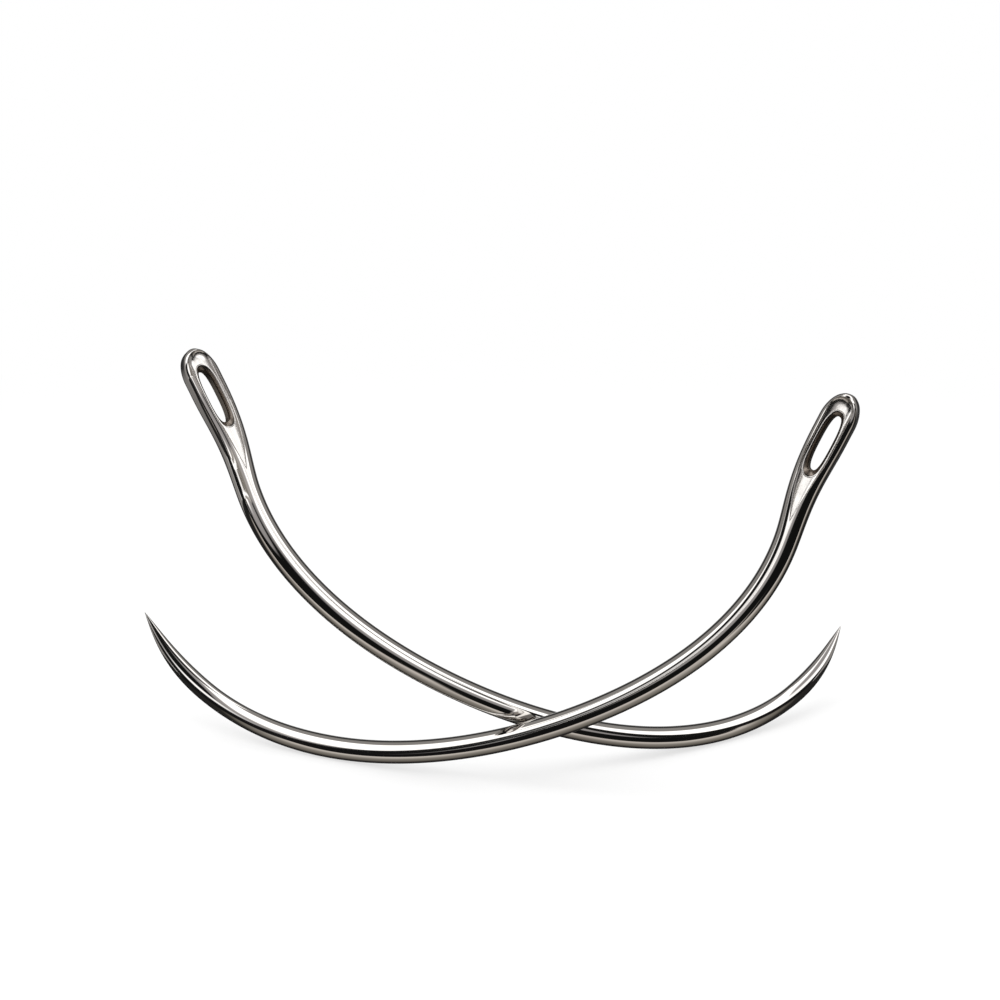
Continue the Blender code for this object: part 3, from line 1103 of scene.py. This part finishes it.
def steel_roughness(groove, eye, fine, broad, brushed):
    polished = (
        ROUGHNESS["polished"]
        + ROUGHNESS["fine streaks"] * fine.eased(*FINE_RUN)
        + ROUGHNESS["broad streaks"] * broad.eased(*BROAD_RUN)
    )
    pressed = ROUGHNESS["pressed"] + ROUGHNESS["brushing"] * brushed.eased(*BRUSHED_RUN)
    pierced = ROUGHNESS["pierced"] + ROUGHNESS["fine streaks in the eye"] * fine
    rough = polished * (1.0 - groove) + pressed * groove
    return rough * (1.0 - eye) + pierced * eye


def steel(name, colour, start):
    """The finish, with its patterns started at another place so that no two needles match."""
    material = bpy.data.materials.new(name)
    material.use_nodes = True
    tree = material.node_tree
    tree.nodes.clear()
    place = vector(tree, "ADD", attribute(tree, "straight", "Vector"), (start, 0.0, 0.0))
    groove, eye = marked(tree, "groove"), marked(tree, "eye")
    fine = grained(tree, place, FINE_GRAIN, Detail=3.0, Roughness=0.6)
    broad = grained(tree, place, BROAD_GRAIN, Detail=2.0, Roughness=0.6)
    brushed = grained(tree, place, BRUSHED_GRAIN, Detail=3.0, Roughness=0.6)
    punched = grained(tree, place, PUNCHED_GRAIN, Detail=2.0)
    rough = steel_roughness(groove, eye, fine, broad, brushed)
    height = fine * between(groove, FINE_HEIGHT)
    height = height + brushed * groove * BRUSHED_HEIGHT + eye * punched * PUNCHED_HEIGHT
    marks = add(
        tree, "ShaderNodeBump", Strength=MARK_STRENGTH, Distance=MARK_HEIGHT, Height=height,
    )
    tint = steel_colour(tree, place, colour, eye, broad, punched)
    metal = add(
        tree, "ShaderNodeBsdfPrincipled",
        Base_Color=tint, Metallic=1.0, Roughness=rough, Normal=out(marks),
    )
    add(tree, "ShaderNodeOutputMaterial", Surface=out(metal))
    return material


REAR_START = 0.31
FRONT_STEEL = steel("front_needle_steel_finish", FRONT_COLOUR, 0.0)
REAR_STEEL = steel("rear_needle_steel_finish", REAR_COLOUR, REAR_START)
print("finishes:", FRONT_STEEL.name, REAR_STEEL.name)

# %% [markdown]
# Each needle is the straight one, bent, rocked along its bow, leaned and turned. The modifier
# is set by each input's identifier, and its result is made a plain mesh. The mesh is then
# moved so that its box sits on the box of the same needle in the frame, and made smaller only
# where it would stand out of it.
# %% Both needles
# Degrees: rocked along the bow, leaned over, and turned about the upright
FRONT_STANCE = (24.0, 11.6, -25.5)
REAR_STANCE = (31.3, -24.8, 213.1)


def bent_mesh(name, stance, material):
    blank = bpy.data.objects.new(name + "_blank", STRAIGHT)
    bpy.context.scene.collection.objects.link(blank)
    rock, lean, turn = (math.radians(degrees) for degrees in stance)
    values = dict(BOW)
    values["Rock"] = (0.0, -rock, 0.0)
    values["Stand"] = (-lean, 0.0, turn)
    values["Material"] = material
    modifier = blank.modifiers.new("bend", "NODES")
    modifier.node_group = BENDING
    for item in BENDING.interface.items_tree:
        if item.in_out == "INPUT" and item.name in values:
            modifier[item.identifier] = values[item.name]
    ready = blank.evaluated_get(bpy.context.evaluated_depsgraph_get())
    mesh = bpy.data.meshes.new_from_object(ready)
    mesh.name = name
    bpy.data.objects.remove(blank, do_unlink=True)
    return mesh


def fitted_needle(name, node, mesh):
    points = np.array([vert.co for vert in mesh.vertices])
    low, high = (np.array(corner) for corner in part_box(node))
    size = points.max(axis=0) - points.min(axis=0)
    middle = (points.max(axis=0) + points.min(axis=0)) / 2
    placed = (low + high) / 2 + (points - middle) * np.minimum((high - low) / size, 1.0)
    mesh.vertices.foreach_set("co", placed.ravel())
    mesh.update()
    needle = bpy.data.objects.new(name, mesh)
    bpy.context.scene.collection.objects.link(needle)
    larger = [round(float(v), 4) for v in (size - (high - low)) / MM]
    triangles = sum(len(face.vertices) - 2 for face in mesh.polygons)
    print(name, "triangles:", triangles, "box larger than the frame's by, mm:", larger)
    return needle


front_mesh = bent_mesh("front_needle_polished", FRONT_STANCE, FRONT_STEEL)
front = fitted_needle("front_needle_polished", "front_needle", front_mesh)
rear_mesh = bent_mesh("rear_needle_polished", REAR_STANCE, REAR_STEEL)
rear = fitted_needle("rear_needle_polished", "rear_needle", rear_mesh)

# %% [markdown]
# Last, each fine needle takes the place of the plain one in the frame and rides on its body,
# so it moves with it.
# %% Join to the frame
for piece, node, body in ((front, "front_needle", "front"), (rear, "rear_needle", "rear")):
    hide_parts(node)
    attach(piece, body)
